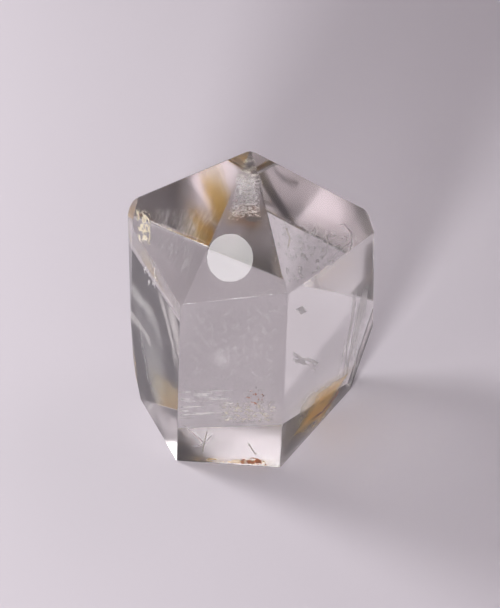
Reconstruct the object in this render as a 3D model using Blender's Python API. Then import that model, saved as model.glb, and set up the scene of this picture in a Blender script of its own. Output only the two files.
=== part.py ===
"""A clear quartz crystal: a stout six-sided prism under a six-faced point.

It stands on a small flat under its front half. Behind that flat a slanting
break rises to the back faces. Every face is a flat plane, so the crystal is
a block with one slice taken off for each face, and its edges are worn a
little. Lengths are in millimetres and angles in degrees. A direction is the
compass bearing of a face's outward side, counted from +X towards +Y, and the
front of the crystal looks along -Y. A distance is measured from the long
axis, which runs straight down from the tip, out to the face at foot level.
"""

from math import cos, radians, sin

import bmesh
import bpy
from mathutils import Vector

MM = 0.001

# Driving dimensions
TIP_HEIGHT = 36.0
TIP_WEAR = 0.3
ROUGH_BLOCK = 90.0
EDGE_WEAR = 0.10
EDGE_WEAR_STEPS = 2

# Prism faces: direction, distance, and how far the face leans in (plus) or out (minus) going up.
# The three in front stand about 60 degrees apart, as a quartz prism's do. The hidden ones are
# guessed: the two behind on the right keep 60 degrees, and the one behind on the left closes the outline.
PRISM_FACES = {
    "front": (-95.0, 9.8, 0.0),
    "front_left": (-156.0, 10.5, 1.0),
    "left_strip": (-170.0, 11.7, 1.0),
    "back_left": (155.0, 10.6, -6.0),
    "back": (85.0, 8.0, 0.0),
    "back_right": (25.0, 12.7, 1.0),
    "front_right": (-34.0, 8.1, -1.5),
}

# Breaks and chips, given like the prism faces
BREAK_FACES = {
    "slanting_break_behind_the_flat": (100.0, 1.0, -30.0),
    "lower_right_break": (35.0, 8.4, -30.0),
    "left_shoulder_chip": (180.0, 20.2, 20.0),
}

# Faces of the point, which meet at the tip: direction and slope down from level. Quartz's own
# slope is about 52 degrees. The two behind are guessed, steep enough to stay hidden by the front.
POINT_FACES = {
    "front": (-108.0, 49.0),
    "front_left": (-157.0, 52.0),
    "back_left": (112.0, 55.0),
    "back_right": (60.0, 55.0),
    "front_right": (-20.0, 55.0),
}

CRYSTAL = "quartz_crystal"


def clear_scene():
    for thing in list(bpy.data.objects):
        bpy.data.objects.remove(thing)


def face_normal(direction, lean):
    """Outward side of a face: its compass direction, tipped up by its lean."""
    level = cos(radians(lean))
    bearing = radians(direction)
    return Vector((level * cos(bearing), level * sin(bearing), sin(radians(lean))))


def slice_face(block, point, outward):
    """Take off everything on the outward side of a plane and close the cut with one flat face."""
    whole = block.verts[:] + block.edges[:] + block.faces[:]
    cut = bmesh.ops.bisect_plane(
        block, geom=whole, dist=0.0, plane_co=point, plane_no=outward, clear_outer=True
    )
    rim = [part for part in cut["geom_cut"] if isinstance(part, bmesh.types.BMEdge)]
    bmesh.ops.holes_fill(block, edges=rim)


def slice_sides(block):
    """The steep faces and breaks, each at its distance from the long axis."""
    for direction, distance, lean in [*PRISM_FACES.values(), *BREAK_FACES.values()]:
        foot = face_normal(direction, 0.0) * distance * MM
        slice_face(block, foot, face_normal(direction, lean))


def slice_point(block):
    """The sloping faces, all through the sharp tip, which is then worn to a tiny flat."""
    tip = Vector((0.0, 0.0, TIP_HEIGHT * MM))
    for direction, slope in POINT_FACES.values():
        slice_face(block, tip, face_normal(direction, 90.0 - slope))
    straight_up = Vector((0.0, 0.0, 1.0))
    slice_face(block, tip - straight_up * TIP_WEAR * MM, straight_up)


def wear_edges(block):
    """Handling takes the sharpness off every edge."""
    bmesh.ops.bevel(
        block,
        geom=block.edges[:],
        offset=EDGE_WEAR * MM,
        segments=EDGE_WEAR_STEPS,
        profile=0.5,
        affect="EDGES",
        clamp_overlap=True,
        material=-1,
    )


def centre_on_footprint(block):
    """Put the origin under the middle of the crystal, level with the flat it stands on."""
    across = [corner.co.x for corner in block.verts]
    along = [corner.co.y for corner in block.verts]
    lowest = min(corner.co.z for corner in block.verts)
    middle = Vector(((min(across) + max(across)) / 2, (min(along) + max(along)) / 2, lowest))
    bmesh.ops.translate(block, verts=block.verts[:], vec=-middle)


def clear_quartz():
    """Colourless, glassy and see-through, with the faintest warm tint."""
    quartz = bpy.data.materials.new("clear_quartz")
    quartz.use_nodes = True
    shader = quartz.node_tree.nodes["Principled BSDF"]
    shader.inputs["Base Color"].default_value = (0.96, 0.95, 0.92, 1.0)
    shader.inputs["Roughness"].default_value = 0.02
    shader.inputs["Metallic"].default_value = 0.0
    shader.inputs["IOR"].default_value = 1.544
    shader.inputs["Transmission Weight"].default_value = 1.0
    return quartz


def build_crystal():
    block = bmesh.new()
    bmesh.ops.create_cube(block, size=ROUGH_BLOCK * MM)
    bmesh.ops.translate(block, verts=block.verts[:], vec=(0.0, 0.0, ROUGH_BLOCK * MM / 2))
    slice_sides(block)
    slice_point(block)
    wear_edges(block)
    centre_on_footprint(block)
    mesh = bpy.data.meshes.new(CRYSTAL)
    block.to_mesh(mesh)
    block.free()
    mesh.materials.append(clear_quartz())
    return bpy.data.objects.new(CRYSTAL, mesh)


def main():
    clear_scene()
    collection = bpy.data.collections.new("Quartz crystal")
    bpy.context.scene.collection.children.link(collection)
    collection.objects.link(build_crystal())


main()
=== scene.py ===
"""Looks of a clear quartz crystal that stands on pale paper in soft light."""

from math import cos, radians, sin

import bmesh
import bpy
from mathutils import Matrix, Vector, noise
from mathutils.bvhtree import BVHTree


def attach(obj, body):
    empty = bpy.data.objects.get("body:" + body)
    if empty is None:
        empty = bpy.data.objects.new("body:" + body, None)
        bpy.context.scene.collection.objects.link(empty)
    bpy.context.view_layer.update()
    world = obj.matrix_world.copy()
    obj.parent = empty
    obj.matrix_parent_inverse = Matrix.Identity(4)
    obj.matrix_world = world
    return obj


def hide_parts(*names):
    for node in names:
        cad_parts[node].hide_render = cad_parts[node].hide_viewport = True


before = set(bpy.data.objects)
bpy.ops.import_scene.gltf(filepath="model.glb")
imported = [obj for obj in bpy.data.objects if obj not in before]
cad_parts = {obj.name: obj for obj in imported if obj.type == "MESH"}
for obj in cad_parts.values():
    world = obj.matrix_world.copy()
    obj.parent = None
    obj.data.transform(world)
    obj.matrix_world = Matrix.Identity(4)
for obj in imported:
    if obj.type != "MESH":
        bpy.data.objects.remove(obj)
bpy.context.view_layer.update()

MM = 0.001

# Photograph, in pixels counted from its upper left corner
PHOTO_MIDDLE = Vector((250, 304))
PHOTO_TALL = 608

# Camera, which stands in front. The view is as tall as given at the place it is aimed at.
VIEW_ELEVATION = 48.0
LENS = 900.0
SENSOR = 36.0
VIEW_TALL = 60.8 * MM
PIXEL = VIEW_TALL / PHOTO_TALL
AIM = Vector((-0.1, 3.2, 10.45)) * MM
NEAREST_SEEN = 10 * MM
FARTHEST_SEEN = 20000 * MM

# Soft lights in the room: compass direction, height above level, spread in degrees, strength
SOFT_LIGHTS = {
    "window at the left": (162, 38, 13, 2.6),
    "panel in front": (222, 21, 10, 3.0),
    "card overhead": (275, 47, 9, 0.7),
    "card behind": (35, 50, 11, 1.8),
    "card at the right": (5, 13, 9, 2.4),
}
ROOM_AMBIENT = 0.03
ROOM_COLOUR = (1.06, 0.93, 1.02, 1)

# Lamps: compass direction, height above level, distance and width in millimetres, power, and aim.
# The small lamp stands where the front face of the point mirrors it into the camera.
MID_CRYSTAL = (0, 0, 15)
FRONT_OF_POINT = (-2.1, -6.0, 28.0)
LAMPS = {
    "left_lamp": (155, 24, 170, 55, 0.23, MID_CRYSTAL),
    "front_lamp": (250, 17, 300, 80, 1.0, MID_CRYSTAL),
    "small_lamp": (238, 31.8, 100, 5.2, 0.0005, FRONT_OF_POINT),
}

# How often light may be passed on, since it crosses many faces inside a clear stone
MOST_BOUNCES = 24
MIRROR_BOUNCES = 12

# Paper
PAPER_SIZE = 6000 * MM
PAPER_GAP = 0.03 * MM
PAPER_COLOUR = (0.63, 0.585, 0.63, 1)
PAPER_ROUGHNESS = 0.85

# Quartz
QUARTZ_INDEX = 1.544
QUARTZ_COLOUR = (0.98, 0.97, 0.96, 1)
QUARTZ_BODY_COLOUR = (0.45, 0.4, 0.38, 1)
QUARTZ_BODY_DENSITY = 12.0
FROST_ROUGHNESS = 0.1

# Crystal
ROUGH_BLOCK = 90.0 * MM
SAME_PLACE = 0.001 * MM
SAME_PLANE = radians(0.4)
NARROWEST_FACE = 0.2 * MM
SHORTEST_EDGE = 0.002 * MM
LOOKS_BACK = 0.1
LOOKS_DOWN = -0.3
SHALLOW_EDGE = radians(5)
SHARP_EDGE = radians(18)
BACK_WEAR = 2.0 * MM
BACK_STEPS = 6
FRONT_WEAR = 0.15 * MM
FRONT_STEPS = 3
FLAT_FACE_WEIGHT = 100

# Flaw colours. Pale flaws mirror some light. Stains let some through, tinted and not bent.
WHITE = (0.92, 0.9, 0.89)
CREAM = (0.88, 0.8, 0.62)
YELLOW = (1.0, 0.88, 0.5)
GOLD = (1.0, 0.62, 0.12)
RUST = (0.42, 0.13, 0.03)
OLIVE = (0.25, 0.23, 0.15)
BLACK = (0.02, 0.02, 0.02)
SILVERY = (WHITE, CREAM)
SILVERY_METALLIC = 0.4
STAINS = (GOLD, YELLOW)
STAIN_TRANSMISSION = 0.4
STAIN_INDEX = 1.0
FLAW_ROUGHNESS = 0.35

# Flaw noise, which a sheet's own grain numbers stretch, and the rim where a flaw fades out
NOISE_DETAIL = 5.0
NOISE_ROUGHNESS = 0.65
NOISE_MIDDLE = 0.5
NOISE_SHIFT = (0.37, 0.53)
RIM_REACH = 0.49
RIM_NOISE = 0.35
RIM_ROOM = 0.17
CLOUD_RAGGED = 0.5
CRACK_RAGGED = 0.2
CRACK_SOFTNESS = 0.7
CRACK_CONTRAST = (0.3, 0.5)
CRACK_GRAINS = 4

# Flaw sheets
SKIN = 0.15 * MM
CLOUD_STEPS = (16, 16)
CRACK_STEPS = 4
WAVES = 3
WAVE_SHARE = 0.15
INWARD_STEP = 0.02

# Photo pixels at the four corners of each cloud of flaws, going round from its upper left
CLOUD_CORNERS = {
    "tip_frost": ((238, 172), (260, 172), (262, 222), (226, 222)),
    "tip_black_grains": ((236, 184), (252, 184), (254, 220), (222, 220)),
    "tip_line": ((238, 216), (266, 216), (266, 222), (238, 222)),
    "tip_streaks": ((244, 154), (256, 154), (262, 184), (232, 184)),
    "left_cream_crack": ((134, 206), (152, 210), (152, 248), (138, 244)),
    "left_haze": ((146, 206), (230, 202), (188, 296), (142, 240)),
    "right_lace": ((262, 208), (367, 236), (350, 262), (286, 298)),
    "right_haze": ((276, 206), (364, 238), (332, 272), (290, 296)),
    "right_cracks_and_glints": ((292, 240), (314, 242), (314, 252), (292, 250)),
    "front_haze": ((180, 304), (284, 296), (280, 420), (178, 420)),
    "front_flakes_and_glints": ((177, 386), (238, 388), (236, 420), (177, 420)),
    "floor_grain": ((215, 400), (282, 400), (281, 424), (215, 424)),
    "red_specks": ((244, 386), (266, 386), (266, 408), (244, 408)),
    "base_foot_tint": ((176, 455), (284, 459), (284, 472), (176, 466)),
    "base_rust": ((238, 455), (272, 458), (272, 471), (238, 469)),
    "left_streaks_and_glints": ((141, 250), (160, 264), (160, 296), (142, 284)),
    "right_high_flakes_and_glints": ((294, 309), (303, 305), (308, 312), (301, 315)),
    "right_low_flakes_and_glints": ((292, 349), (320, 362), (316, 374), (292, 362)),
    "right_side_lines": ((352, 290), (373, 280), (356, 386), (334, 390)),
    "golden_haze": ((296, 388), (352, 366), (340, 400), (280, 452)),
    "golden_edge": ((318, 386), (362, 356), (318, 436), (282, 448)),
}

# Photo pixels that each crack runs through
CRACK_PATHS = {
    "right_arc_high": ((334, 226), (344, 224), (351, 232), (352, 244), (347, 256)),
    "right_arc_low": ((326, 228), (328, 240), (326, 254), (318, 262)),
    "right_ray_one": ((330, 262), (340, 250), (356, 238)),
    "right_ray_two": ((312, 232), (326, 240), (344, 252)),
    "right_ray_three": ((284, 222), (290, 238), (287, 252)),
    "base_crack_long": ((181, 423), (192, 432), (203, 442), (207, 446)),
    "base_crack_steep": ((209, 424), (206, 436), (203, 448), (203, 458)),
    "base_crack_branch": ((190, 446), (199, 446), (208, 440), (214, 432)),
    "base_dark_crack": ((246, 440), (250, 446), (255, 454), (260, 452)),
    "golden_crack": ((345, 378), (336, 396), (322, 412), (306, 424)),
    "left_long_crack": ((141, 330), (144, 360), (150, 384), (158, 402)),
    "left_pale_crack": ((139, 318), (143, 350), (148, 378), (156, 398)),
}


def new_object(name, data):
    thing = bpy.data.objects.new(name, data)
    bpy.context.scene.collection.objects.link(thing)
    return thing


def new_material(name, colour):
    material = bpy.data.materials.new(name)
    material.use_nodes = True
    nodes = material.node_tree.nodes
    shader = nodes["Principled BSDF"]
    shader.inputs["Base Color"].default_value = colour
    return material, shader, nodes, material.node_tree.links


def add_node(nodes, kind, **settings):
    node = nodes.new(kind)
    for name, value in settings.items():
        setattr(node, name, value)
    return node


def bearing(azimuth, elevation):
    """Unit vector towards a compass direction, counted from +X towards +Y, and a height above level."""
    level = cos(radians(elevation))
    return Vector((
        level * cos(radians(azimuth)), level * sin(radians(azimuth)), sin(radians(elevation))
    ))


def add_camera():
    camera = bpy.data.cameras.new("camera")
    camera.lens = LENS
    camera.sensor_width = SENSOR
    camera.clip_start = NEAREST_SEEN
    camera.clip_end = FARTHEST_SEEN
    holder = new_object("camera", camera)
    tilt = radians(VIEW_ELEVATION)
    back = Vector((0.0, -cos(tilt), sin(tilt)))
    holder.location = AIM + back * (LENS * VIEW_TALL / SENSOR)
    holder.rotation_mode = "QUATERNION"
    holder.rotation_quaternion = (-back).to_track_quat("-Z", "Y")
    bpy.context.scene.camera = holder


def add_lamp(name, azimuth, elevation, distance, width, power, aim):
    """A round lamp that faces the place it is aimed at."""
    lamp = bpy.data.lights.new(name, "AREA")
    lamp.shape = "DISK"
    lamp.size = width * MM
    lamp.energy = power
    holder = new_object(name, lamp)
    toward = bearing(azimuth, elevation)
    holder.location = Vector(aim) * MM + toward * distance * MM
    holder.rotation_mode = "QUATERNION"
    holder.rotation_quaternion = toward.to_track_quat("Z", "Y")


def studio_light():
    """A dim room with a window at the left, a panel in front and three pale cards."""
    room = bpy.data.worlds.new("room")
    room.use_nodes = True
    nodes, links = room.node_tree.nodes, room.node_tree.links
    background = nodes["Background"]
    direction = add_node(nodes, "ShaderNodeTexCoord")
    light = None
    for azimuth, elevation, spread, strength in SOFT_LIGHTS.values():
        facing = add_node(nodes, "ShaderNodeVectorMath", operation="DOT_PRODUCT")
        facing.inputs[1].default_value = bearing(azimuth, elevation)
        links.new(direction.outputs["Generated"], facing.inputs[0])
        sharpness = 1 / (1 - cos(radians(spread)))
        falloff = add_node(nodes, "ShaderNodeMath", operation="MULTIPLY_ADD")
        falloff.inputs[1].default_value = sharpness
        falloff.inputs[2].default_value = -sharpness
        links.new(facing.outputs["Value"], falloff.inputs[0])
        patch = add_node(nodes, "ShaderNodeMath", operation="EXPONENT")
        links.new(falloff.outputs[0], patch.inputs[0])
        total = add_node(nodes, "ShaderNodeMath", operation="MULTIPLY_ADD")
        total.inputs[1].default_value = strength
        total.inputs[2].default_value = ROOM_AMBIENT
        links.new(patch.outputs[0], total.inputs[0])
        if light is not None:
            links.new(light, total.inputs[2])
        light = total.outputs[0]
    links.new(light, background.inputs["Strength"])
    background.inputs["Color"].default_value = ROOM_COLOUR
    bpy.context.scene.world = room


def paper():
    material, shader, _, _ = new_material("paper", PAPER_COLOUR)
    shader.inputs["Roughness"].default_value = PAPER_ROUGHNESS
    mesh = bpy.data.meshes.new("paper")
    sheet = bmesh.new()
    bmesh.ops.create_grid(sheet, x_segments=1, y_segments=1, size=PAPER_SIZE / 2)
    bmesh.ops.translate(sheet, verts=sheet.verts[:], vec=(0.0, 0.0, -PAPER_GAP))
    sheet.to_mesh(mesh)
    sheet.free()
    mesh.materials.append(material)
    floor = new_object("paper", mesh)


def quartz():
    """Clear glassy stone with a little absorption, frosted where the frost attribute says so."""
    material, shader, nodes, links = new_material("clear_quartz", QUARTZ_COLOUR)
    shader.inputs["IOR"].default_value = QUARTZ_INDEX
    shader.inputs["Transmission Weight"].default_value = 1.0
    frost = add_node(nodes, "ShaderNodeAttribute", attribute_name="frost")
    rough = add_node(nodes, "ShaderNodeMapRange")
    rough.inputs["To Min"].default_value = 0.0
    rough.inputs["To Max"].default_value = FROST_ROUGHNESS
    links.new(frost.outputs["Fac"], rough.inputs["Value"])
    links.new(rough.outputs[0], shader.inputs["Roughness"])
    body = add_node(nodes, "ShaderNodeVolumeAbsorption")
    body.inputs["Color"].default_value = QUARTZ_BODY_COLOUR
    body.inputs["Density"].default_value = QUARTZ_BODY_DENSITY
    links.new(body.outputs[0], nodes["Material Output"].inputs["Volume"])
    return material


def plane_of(face):
    """Outward side of a flat face and its distance from the origin."""
    return face.normal.copy(), face.normal.dot(face.calc_center_median())


def crystal_faces(node):
    """The plane of every crystal face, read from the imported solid.

    The worn edges and the worn tip are far narrower than any face, and are left out.
    """
    solid = bmesh.new()
    solid.from_mesh(node.data)
    bmesh.ops.remove_doubles(solid, verts=solid.verts[:], dist=SAME_PLACE)
    bmesh.ops.dissolve_limit(
        solid, angle_limit=SAME_PLANE, verts=solid.verts[:], edges=solid.edges[:]
    )
    faces = []
    for face in solid.faces:
        width = 2 * face.calc_area() / face.calc_perimeter()
        if width > NARROWEST_FACE:
            faces.append(plane_of(face))
    solid.free()
    return faces


def trim(block, outward, distance):
    """Take off everything beyond a plane."""
    whole = block.verts[:] + block.edges[:] + block.faces[:]
    return bmesh.ops.bisect_plane(
        block, geom=whole, dist=0.0, plane_co=outward * distance, plane_no=outward, clear_outer=True
    )


def slice_face(block, outward, distance):
    """Take off everything beyond a plane and close the cut with one flat face."""
    cut = trim(block, outward, distance)
    rim = [part for part in cut["geom_cut"] if isinstance(part, bmesh.types.BMEdge)]
    bmesh.ops.holes_fill(block, edges=rim)


def looks_back(face):
    return face.normal.y > LOOKS_BACK


def looks_down(face):
    return face.normal.z < LOOKS_DOWN


def worn_edge(first, second, radius, steps):
    """Narrow slices that round the edge between two faces."""
    (outward_a, distance_a), (outward_b, distance_b) = first, second
    lean = outward_a.dot(outward_b)
    angle = outward_a.angle(outward_b)
    if angle < SHALLOW_EDGE:
        return []
    inner_a, inner_b = distance_a - radius, distance_b - radius
    share_a = (inner_a - lean * inner_b) / (1 - lean * lean)
    share_b = (inner_b - lean * inner_a) / (1 - lean * lean)
    axis = outward_a * share_a + outward_b * share_b
    slices = []
    for step in range(1, steps + 1):
        outward = outward_a.slerp(outward_b, step / (steps + 1))
        slices.append((outward, outward.dot(axis) + radius))
    return slices


def wear_edges(block):
    """Round the edges behind more than the crisp ones in front."""
    slices = []
    for edge in block.edges:
        planes = [plane_of(face) for face in edge.link_faces]
        if all(looks_back(face) for face in edge.link_faces):
            slices += worn_edge(*planes, BACK_WEAR, BACK_STEPS)
        else:
            slices += worn_edge(*planes, FRONT_WEAR, FRONT_STEPS)
    for outward, distance in slices:
        slice_face(block, outward, distance)


def crystal():
    """The stone itself, and what its flaws need: what a ray to it meets, and where its faces lie."""
    block = bmesh.new()
    bmesh.ops.create_cube(block, size=ROUGH_BLOCK)
    faces = crystal_faces(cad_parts["quartz_crystal"])
    for outward, distance in faces:
        slice_face(block, outward, distance)
    block.normal_update()
    tree = BVHTree.FromBMesh(block)
    wear_edges(block)
    bmesh.ops.dissolve_degenerate(block, dist=SHORTEST_EDGE, edges=block.edges[:])
    block.normal_update()
    # The faces behind and below are slightly frosted
    frost = block.faces.layers.float.new("frost")
    for face in block.faces:
        face[frost] = 1.0 if looks_back(face) or looks_down(face) else 0.0
        face.smooth = True
    mesh = bpy.data.meshes.new("quartz")
    block.to_mesh(mesh)
    block.free()
    mesh.set_sharp_from_angle(angle=SHARP_EDGE)
    mesh.materials.append(quartz())
    stone = new_object("quartz", mesh)
    flats = stone.modifiers.new("flats", "WEIGHTED_NORMAL")
    flats.weight = FLAT_FACE_WEIGHT
    flats.keep_sharp = True
    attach(stone, "root")
    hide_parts("quartz_crystal")
    return tree, faces


def photo_ray(across, down):
    """Start and direction of the camera's ray through a pixel of the photograph."""
    camera = bpy.context.scene.camera
    turned = camera.rotation_quaternion
    right = turned @ Vector((1, 0, 0))
    up = turned @ Vector((0, 1, 0))
    aimed = AIM + (right * (across - PHOTO_MIDDLE.x) + up * (PHOTO_MIDDLE.y - down)) * PIXEL
    return camera.location.copy(), (aimed - camera.location).normalized()


def bent_inwards(direction, outward):
    """Direction of a ray once it has entered the stone through a face."""
    ratio = 1 / QUARTZ_INDEX
    facing = -direction.dot(outward)
    under = 1 - ratio * ratio * (1 - facing * facing)
    return direction * ratio + outward * (ratio * facing - under ** 0.5)


def seen_face(tree, pixel):
    """Place and outward side of the face at a photo pixel, or at the nearest one inwards that shows one."""
    hit = None
    while hit is None:
        start, direction = photo_ray(pixel.x, pixel.y)
        hit, outward, _, _ = tree.ray_cast(start, direction)
        pixel = pixel.lerp(PHOTO_MIDDLE, INWARD_STEP)
    return hit, outward


def behind(window, across, down, depth):
    """The place that a photo pixel shows through one face, so many millimetres along the bent ray."""
    hit, outward = window
    start, direction = photo_ray(across, down)
    entry = start + direction * ((hit - start).dot(outward) / direction.dot(outward))
    return entry + bent_inwards(direction, outward) * depth * MM


def eased(nodes, links, value, start, end):
    """From 0 where the value is at its start to 1 at its end, slow at both."""
    span = add_node(nodes, "ShaderNodeMapRange", interpolation_type="SMOOTHSTEP")
    span.inputs["From Min"].default_value = start
    span.inputs["From Max"].default_value = end
    links.new(value, span.inputs["Value"])
    return span.outputs[0]


def flaw_noise(nodes, links, across, first_pixel, grains):
    """Noise over a sheet, read at another place for each sheet."""
    grain = add_node(nodes, "ShaderNodeMapping")
    shift = (first_pixel.x * NOISE_SHIFT[0], first_pixel.y * NOISE_SHIFT[1], 0.0)
    grain.inputs["Location"].default_value = shift
    grain.inputs["Scale"].default_value = (*grains, 1.0)
    links.new(across, grain.inputs["Vector"])
    texture = add_node(nodes, "ShaderNodeTexNoise")
    texture.inputs["Scale"].default_value = 1.0
    texture.inputs["Detail"].default_value = NOISE_DETAIL
    texture.inputs["Roughness"].default_value = NOISE_ROUGHNESS
    links.new(grain.outputs[0], texture.inputs["Vector"])
    return texture.outputs[0]


def from_noise_middle(nodes, links, level):
    """How far the noise is from its middle, which is nothing along thin winding lines."""
    centred = add_node(nodes, "ShaderNodeMath", operation="SUBTRACT")
    centred.inputs[1].default_value = NOISE_MIDDLE
    links.new(level, centred.inputs[0])
    away = add_node(nodes, "ShaderNodeMath", operation="ABSOLUTE")
    links.new(centred.outputs[0], away.inputs[0])
    return away.outputs[0]


def from_sheet_middle(nodes, links, across, square):
    """How far out a place on the sheet lies, counted in square or in round rings."""
    centred = add_node(nodes, "ShaderNodeVectorMath", operation="SUBTRACT")
    centred.inputs[1].default_value = (0.5, 0.5, 0.0)
    links.new(across, centred.inputs[0])
    if not square:
        length = add_node(nodes, "ShaderNodeVectorMath", operation="LENGTH")
        links.new(centred.outputs[0], length.inputs[0])
        return length.outputs["Value"]
    folded = add_node(nodes, "ShaderNodeVectorMath", operation="ABSOLUTE")
    links.new(centred.outputs[0], folded.inputs[0])
    sides = add_node(nodes, "ShaderNodeSeparateXYZ")
    links.new(folded.outputs[0], sides.inputs[0])
    larger = add_node(nodes, "ShaderNodeMath", operation="MAXIMUM")
    links.new(sides.outputs[0], larger.inputs[0])
    links.new(sides.outputs[1], larger.inputs[1])
    return larger.outputs[0]


def fading_rim(nodes, links, reach, level, softness, ragged):
    """1 in the middle of the sheet and 0 past the rim, which the noise pushes out unevenly."""
    uneven = add_node(nodes, "ShaderNodeMath", operation="MULTIPLY_ADD")
    uneven.inputs[1].default_value = -RIM_NOISE * ragged
    links.new(level, uneven.inputs[0])
    links.new(reach, uneven.inputs[2])
    rim = RIM_REACH - RIM_ROOM * ragged
    return eased(nodes, links, uneven.outputs[0], rim, rim * (1 - softness))


def flaw_material(
    name, first_pixel, colour, cover, softness, grains, contrast, lines, square, ragged
):
    """A cloud of tiny flaws that fades out towards its rim, whole or broken into grains or lines."""
    material, shader, nodes, links = new_material(name, (*colour, 1.0))
    shader.inputs["Roughness"].default_value = FLAW_ROUGHNESS
    if colour in SILVERY:
        shader.inputs["Metallic"].default_value = SILVERY_METALLIC
    if colour in STAINS:
        shader.inputs["Transmission Weight"].default_value = STAIN_TRANSMISSION
        shader.inputs["IOR"].default_value = STAIN_INDEX
    across = add_node(nodes, "ShaderNodeUVMap", uv_map="sheet").outputs[0]
    level = flaw_noise(nodes, links, across, first_pixel, grains)
    grain = from_noise_middle(nodes, links, level) if lines else level
    broken = eased(nodes, links, grain, *contrast)
    reach = from_sheet_middle(nodes, links, across, square)
    rim = fading_rim(nodes, links, reach, level, softness, ragged)
    shown = add_node(nodes, "ShaderNodeMath", operation="MULTIPLY")
    links.new(broken, shown.inputs[0])
    links.new(rim, shown.inputs[1])
    alpha = add_node(nodes, "ShaderNodeMath", operation="MULTIPLY")
    alpha.inputs[1].default_value = cover
    links.new(shown.outputs[0], alpha.inputs[0])
    links.new(alpha.outputs[0], shader.inputs["Alpha"])
    return material


def thin_sheet(solid, name, pixel_at, middle, steps, depth, material):
    """A thin wavy sheet inside the crystal, laid out by the photo pixels that show it."""
    tree, faces = solid
    window = seen_face(tree, middle)
    sheet = bmesh.new()
    sheet.loops.layers.uv.new("sheet")
    bmesh.ops.create_grid(sheet, x_segments=steps[0], y_segments=steps[1], size=0.5, calc_uvs=True)
    for vert in sheet.verts:
        along, down = vert.co.x + 0.5, 0.5 - vert.co.y
        pixel = pixel_at(along, down)
        wave = noise.noise(Vector((along * WAVES, down * WAVES, depth)))
        vert.co = behind(window, pixel.x, pixel.y, depth * (1 + WAVE_SHARE * wave))
    for outward, distance in faces:
        trim(sheet, outward, distance - SKIN)
    mesh = bpy.data.meshes.new(name)
    sheet.to_mesh(mesh)
    sheet.free()
    mesh.materials.append(material)
    piece = new_object(name, mesh)
    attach(piece, "root")


def cloud(solid, name, depth, colour, cover, softness, grains, contrast, lines=False, square=False):
    """A cloud of flaws between the four photo pixels that its name has in the table."""
    corners = [Vector(corner) for corner in CLOUD_CORNERS[name]]
    upper_left, upper_right, lower_right, lower_left = corners
    middle = (upper_left + upper_right + lower_right + lower_left) / 4

    def pixel_at(along, down):
        top = upper_left.lerp(upper_right, along)
        foot = lower_left.lerp(lower_right, along)
        return top.lerp(foot, down)

    material = flaw_material(
        name, upper_left, colour, cover, softness, grains, contrast, lines, square, CLOUD_RAGGED
    )
    thin_sheet(solid, name, pixel_at, middle, CLOUD_STEPS, depth, material)


def crack(solid, name, width, depth, colour, cover):
    """A fine crack, its width in photo pixels, along the path that its name has in the table."""
    points = [Vector(point) for point in CRACK_PATHS[name]]
    middle = points[len(points) // 2]
    last = len(points) - 1

    def pixel_at(along, down):
        first = min(int(along * last), last - 1)
        start, end = points[first], points[first + 1]
        heading = (end - start).normalized()
        beside = Vector((-heading.y, heading.x)) * width * (down - 0.5)
        return start.lerp(end, along * last - first) + beside

    material = flaw_material(
        name, points[0], colour, cover, CRACK_SOFTNESS, (len(points) * CRACK_GRAINS, 1),
        CRACK_CONTRAST, False, True, CRACK_RAGGED
    )
    thin_sheet(solid, name, pixel_at, middle, (last * CRACK_STEPS, 1), depth, material)


def frosted_tip(solid):
    """Frost, dark grains and streaks just under the tip."""
    cloud(
        solid, "tip_frost", depth=0.6, colour=WHITE, cover=0.6, softness=0.5,
        grains=(10, 26), contrast=(0.4, 0.62), square=True
    )
    # Black grains mottled among the frost just under the tip
    cloud(
        solid, "tip_black_grains", depth=0.5, colour=BLACK, cover=0.5, softness=0.6,
        grains=(8, 18), contrast=(0.52, 0.6), square=True
    )
    cloud(
        solid, "tip_line", depth=0.4, colour=BLACK, cover=0.8, softness=0.5,
        grains=(6, 1), contrast=(0.3, 0.5)
    )
    cloud(
        solid, "tip_streaks", depth=0.4, colour=CREAM, cover=0.3, softness=0.5,
        grains=(2, 9), contrast=(0.45, 0.6)
    )


def flaws_left_of_the_point(solid):
    """A cream crack at the left shoulder, and a thin haze behind the left face of the point."""
    cloud(
        solid, "left_cream_crack", depth=0.4, colour=CREAM, cover=0.95, softness=0.5,
        grains=(3, 4), contrast=(0.07, 0.02), lines=True, square=True
    )
    cloud(
        solid, "left_haze", depth=2.0, colour=WHITE, cover=0.22, softness=0.7,
        grains=(22, 5), contrast=(0.4, 0.75), square=True
    )


def flaws_right_of_the_point(solid):
    """White lace with arcs and rays behind the right face of the point, and white flakes of a crack whose
    whiteness is partly a painted glint.
    """
    cloud(
        solid, "right_lace", depth=0.8, colour=WHITE, cover=0.9, softness=0.5,
        grains=(13, 9), contrast=(0.52, 0.66), square=True
    )
    crack(solid, "right_arc_high", width=2.2, depth=0.6, colour=WHITE, cover=0.7)
    crack(solid, "right_arc_low", width=2.2, depth=0.7, colour=WHITE, cover=0.6)
    crack(solid, "right_ray_one", width=1.8, depth=0.7, colour=WHITE, cover=0.5)
    crack(solid, "right_ray_two", width=1.6, depth=0.7, colour=WHITE, cover=0.5)
    crack(solid, "right_ray_three", width=2.5, depth=0.7, colour=CREAM, cover=0.5)
    cloud(
        solid, "right_haze", depth=1.4, colour=WHITE, cover=0.2, softness=0.5,
        grains=(6, 6), contrast=(0.3, 0.7), square=True
    )
    # White flakes of a real crack, their whiteness partly a painted glint
    cloud(
        solid, "right_cracks_and_glints", depth=0.5, colour=WHITE, cover=0.8, softness=0.5,
        grains=(6, 6), contrast=(0.52, 0.6)
    )


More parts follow.
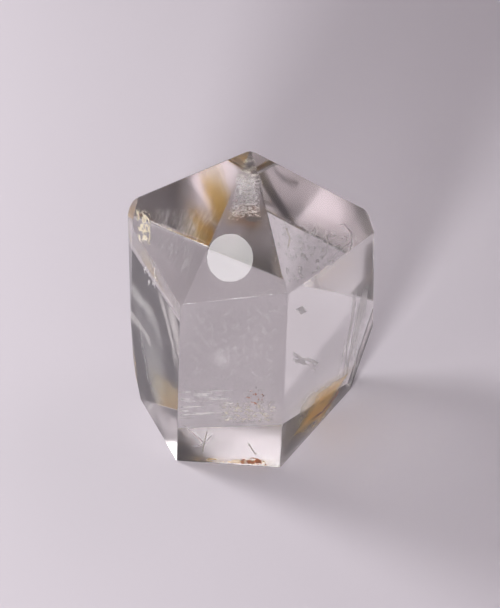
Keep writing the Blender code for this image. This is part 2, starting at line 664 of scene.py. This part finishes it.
def flaws_behind_the_front(solid):
    """A thin haze behind the front prism face, with streaks, grains and red specks low in it; the white
    streaks are real flakes whose whiteness is partly a painted glint.
    """
    cloud(
        solid, "front_haze", depth=0.8, colour=WHITE, cover=0.2, softness=0.3,
        grains=(16, 16), contrast=(0.45, 0.75), square=True
    )
    # White flake streaks, their whiteness partly a painted glint
    cloud(
        solid, "front_flakes_and_glints", depth=0.6, colour=WHITE, cover=0.9, softness=0.5,
        grains=(2, 12), contrast=(0.52, 0.58), square=True
    )
    cloud(
        solid, "floor_grain", depth=0.6, colour=CREAM, cover=0.6, softness=0.5,
        grains=(12, 8), contrast=(0.45, 0.65), square=True
    )
    cloud(
        solid, "red_specks", depth=0.5, colour=RUST, cover=0.9, softness=0.5,
        grains=(6, 8), contrast=(0.54, 0.6)
    )


def flaws_in_the_base(solid):
    """Cracks, a golden tint and rust near the foot."""
    cloud(
        solid, "base_foot_tint", depth=0.3, colour=GOLD, cover=0.5, softness=0.7,
        grains=(5, 1), contrast=(0.3, 0.6), square=True
    )
    crack(solid, "base_crack_long", width=1.8, depth=0.4, colour=WHITE, cover=0.8)
    crack(solid, "base_crack_steep", width=1.8, depth=0.4, colour=OLIVE, cover=0.8)
    crack(solid, "base_crack_branch", width=1.6, depth=0.4, colour=WHITE, cover=0.7)
    crack(solid, "base_dark_crack", width=2.5, depth=0.3, colour=OLIVE, cover=0.8)
    cloud(
        solid, "base_rust", depth=0.2, colour=RUST, cover=1.0, softness=0.4,
        grains=(5, 2), contrast=(0.48, 0.53)
    )


def flaws_at_the_sides(solid):
    """White streaks at the left, and white flakes and upright lines at the right; the streaks and flakes
    are real flakes whose whiteness is partly a painted glint.
    """
    # White streaks of real flakes, their whiteness partly a painted glint
    cloud(
        solid, "left_streaks_and_glints", depth=0.5, colour=WHITE, cover=0.9, softness=0.5,
        grains=(6, 4), contrast=(0.54, 0.6)
    )
    # White flakes, their whiteness partly a painted glint
    cloud(
        solid, "right_high_flakes_and_glints", depth=0.4, colour=WHITE, cover=0.9, softness=0.35,
        grains=(2, 3), contrast=(0.3, 0.45), square=True
    )
    # White flakes, their whiteness partly a painted glint
    cloud(
        solid, "right_low_flakes_and_glints", depth=0.4, colour=WHITE, cover=0.9, softness=0.4,
        grains=(2, 4), contrast=(0.46, 0.52), square=True
    )
    cloud(
        solid, "right_side_lines", depth=0.4, colour=WHITE, cover=0.9, softness=0.5,
        grains=(7, 1), contrast=(0.48, 0.56), square=True
    )


def golden_stain(solid):
    """A golden stain with a rusty crack, low behind the right prism face."""
    cloud(
        solid, "golden_haze", depth=0.5, colour=YELLOW, cover=0.55, softness=0.9,
        grains=(4, 3), contrast=(0.2, 0.6)
    )
    cloud(
        solid, "golden_edge", depth=0.3, colour=GOLD, cover=0.9, softness=1.0,
        grains=(3, 5), contrast=(0.1, 0.5), square=True
    )
    crack(solid, "golden_crack", width=2.5, depth=0.25, colour=RUST, cover=0.7)


def long_cracks_at_the_left(solid):
    """A dark and a pale crack that run down side by side."""
    crack(solid, "left_long_crack", width=2.0, depth=0.4, colour=BLACK, cover=0.5)
    crack(solid, "left_pale_crack", width=2.0, depth=0.5, colour=WHITE, cover=0.5)


def render_settings():
    """Plain colours, and enough bounces for light to find its way through the stone."""
    bpy.context.scene.view_settings.view_transform = "Standard"
    cycles = bpy.context.scene.cycles
    cycles.max_bounces = MOST_BOUNCES
    cycles.transmission_bounces = MOST_BOUNCES
    cycles.transparent_max_bounces = MOST_BOUNCES
    cycles.glossy_bounces = MIRROR_BOUNCES


add_camera()
studio_light()
paper()
solid = crystal()
frosted_tip(solid)
flaws_left_of_the_point(solid)
flaws_right_of_the_point(solid)
flaws_behind_the_front(solid)
flaws_in_the_base(solid)
flaws_at_the_sides(solid)
golden_stain(solid)
long_cracks_at_the_left(solid)
for name, settings in LAMPS.items():
    add_lamp(name, *settings)
render_settings()
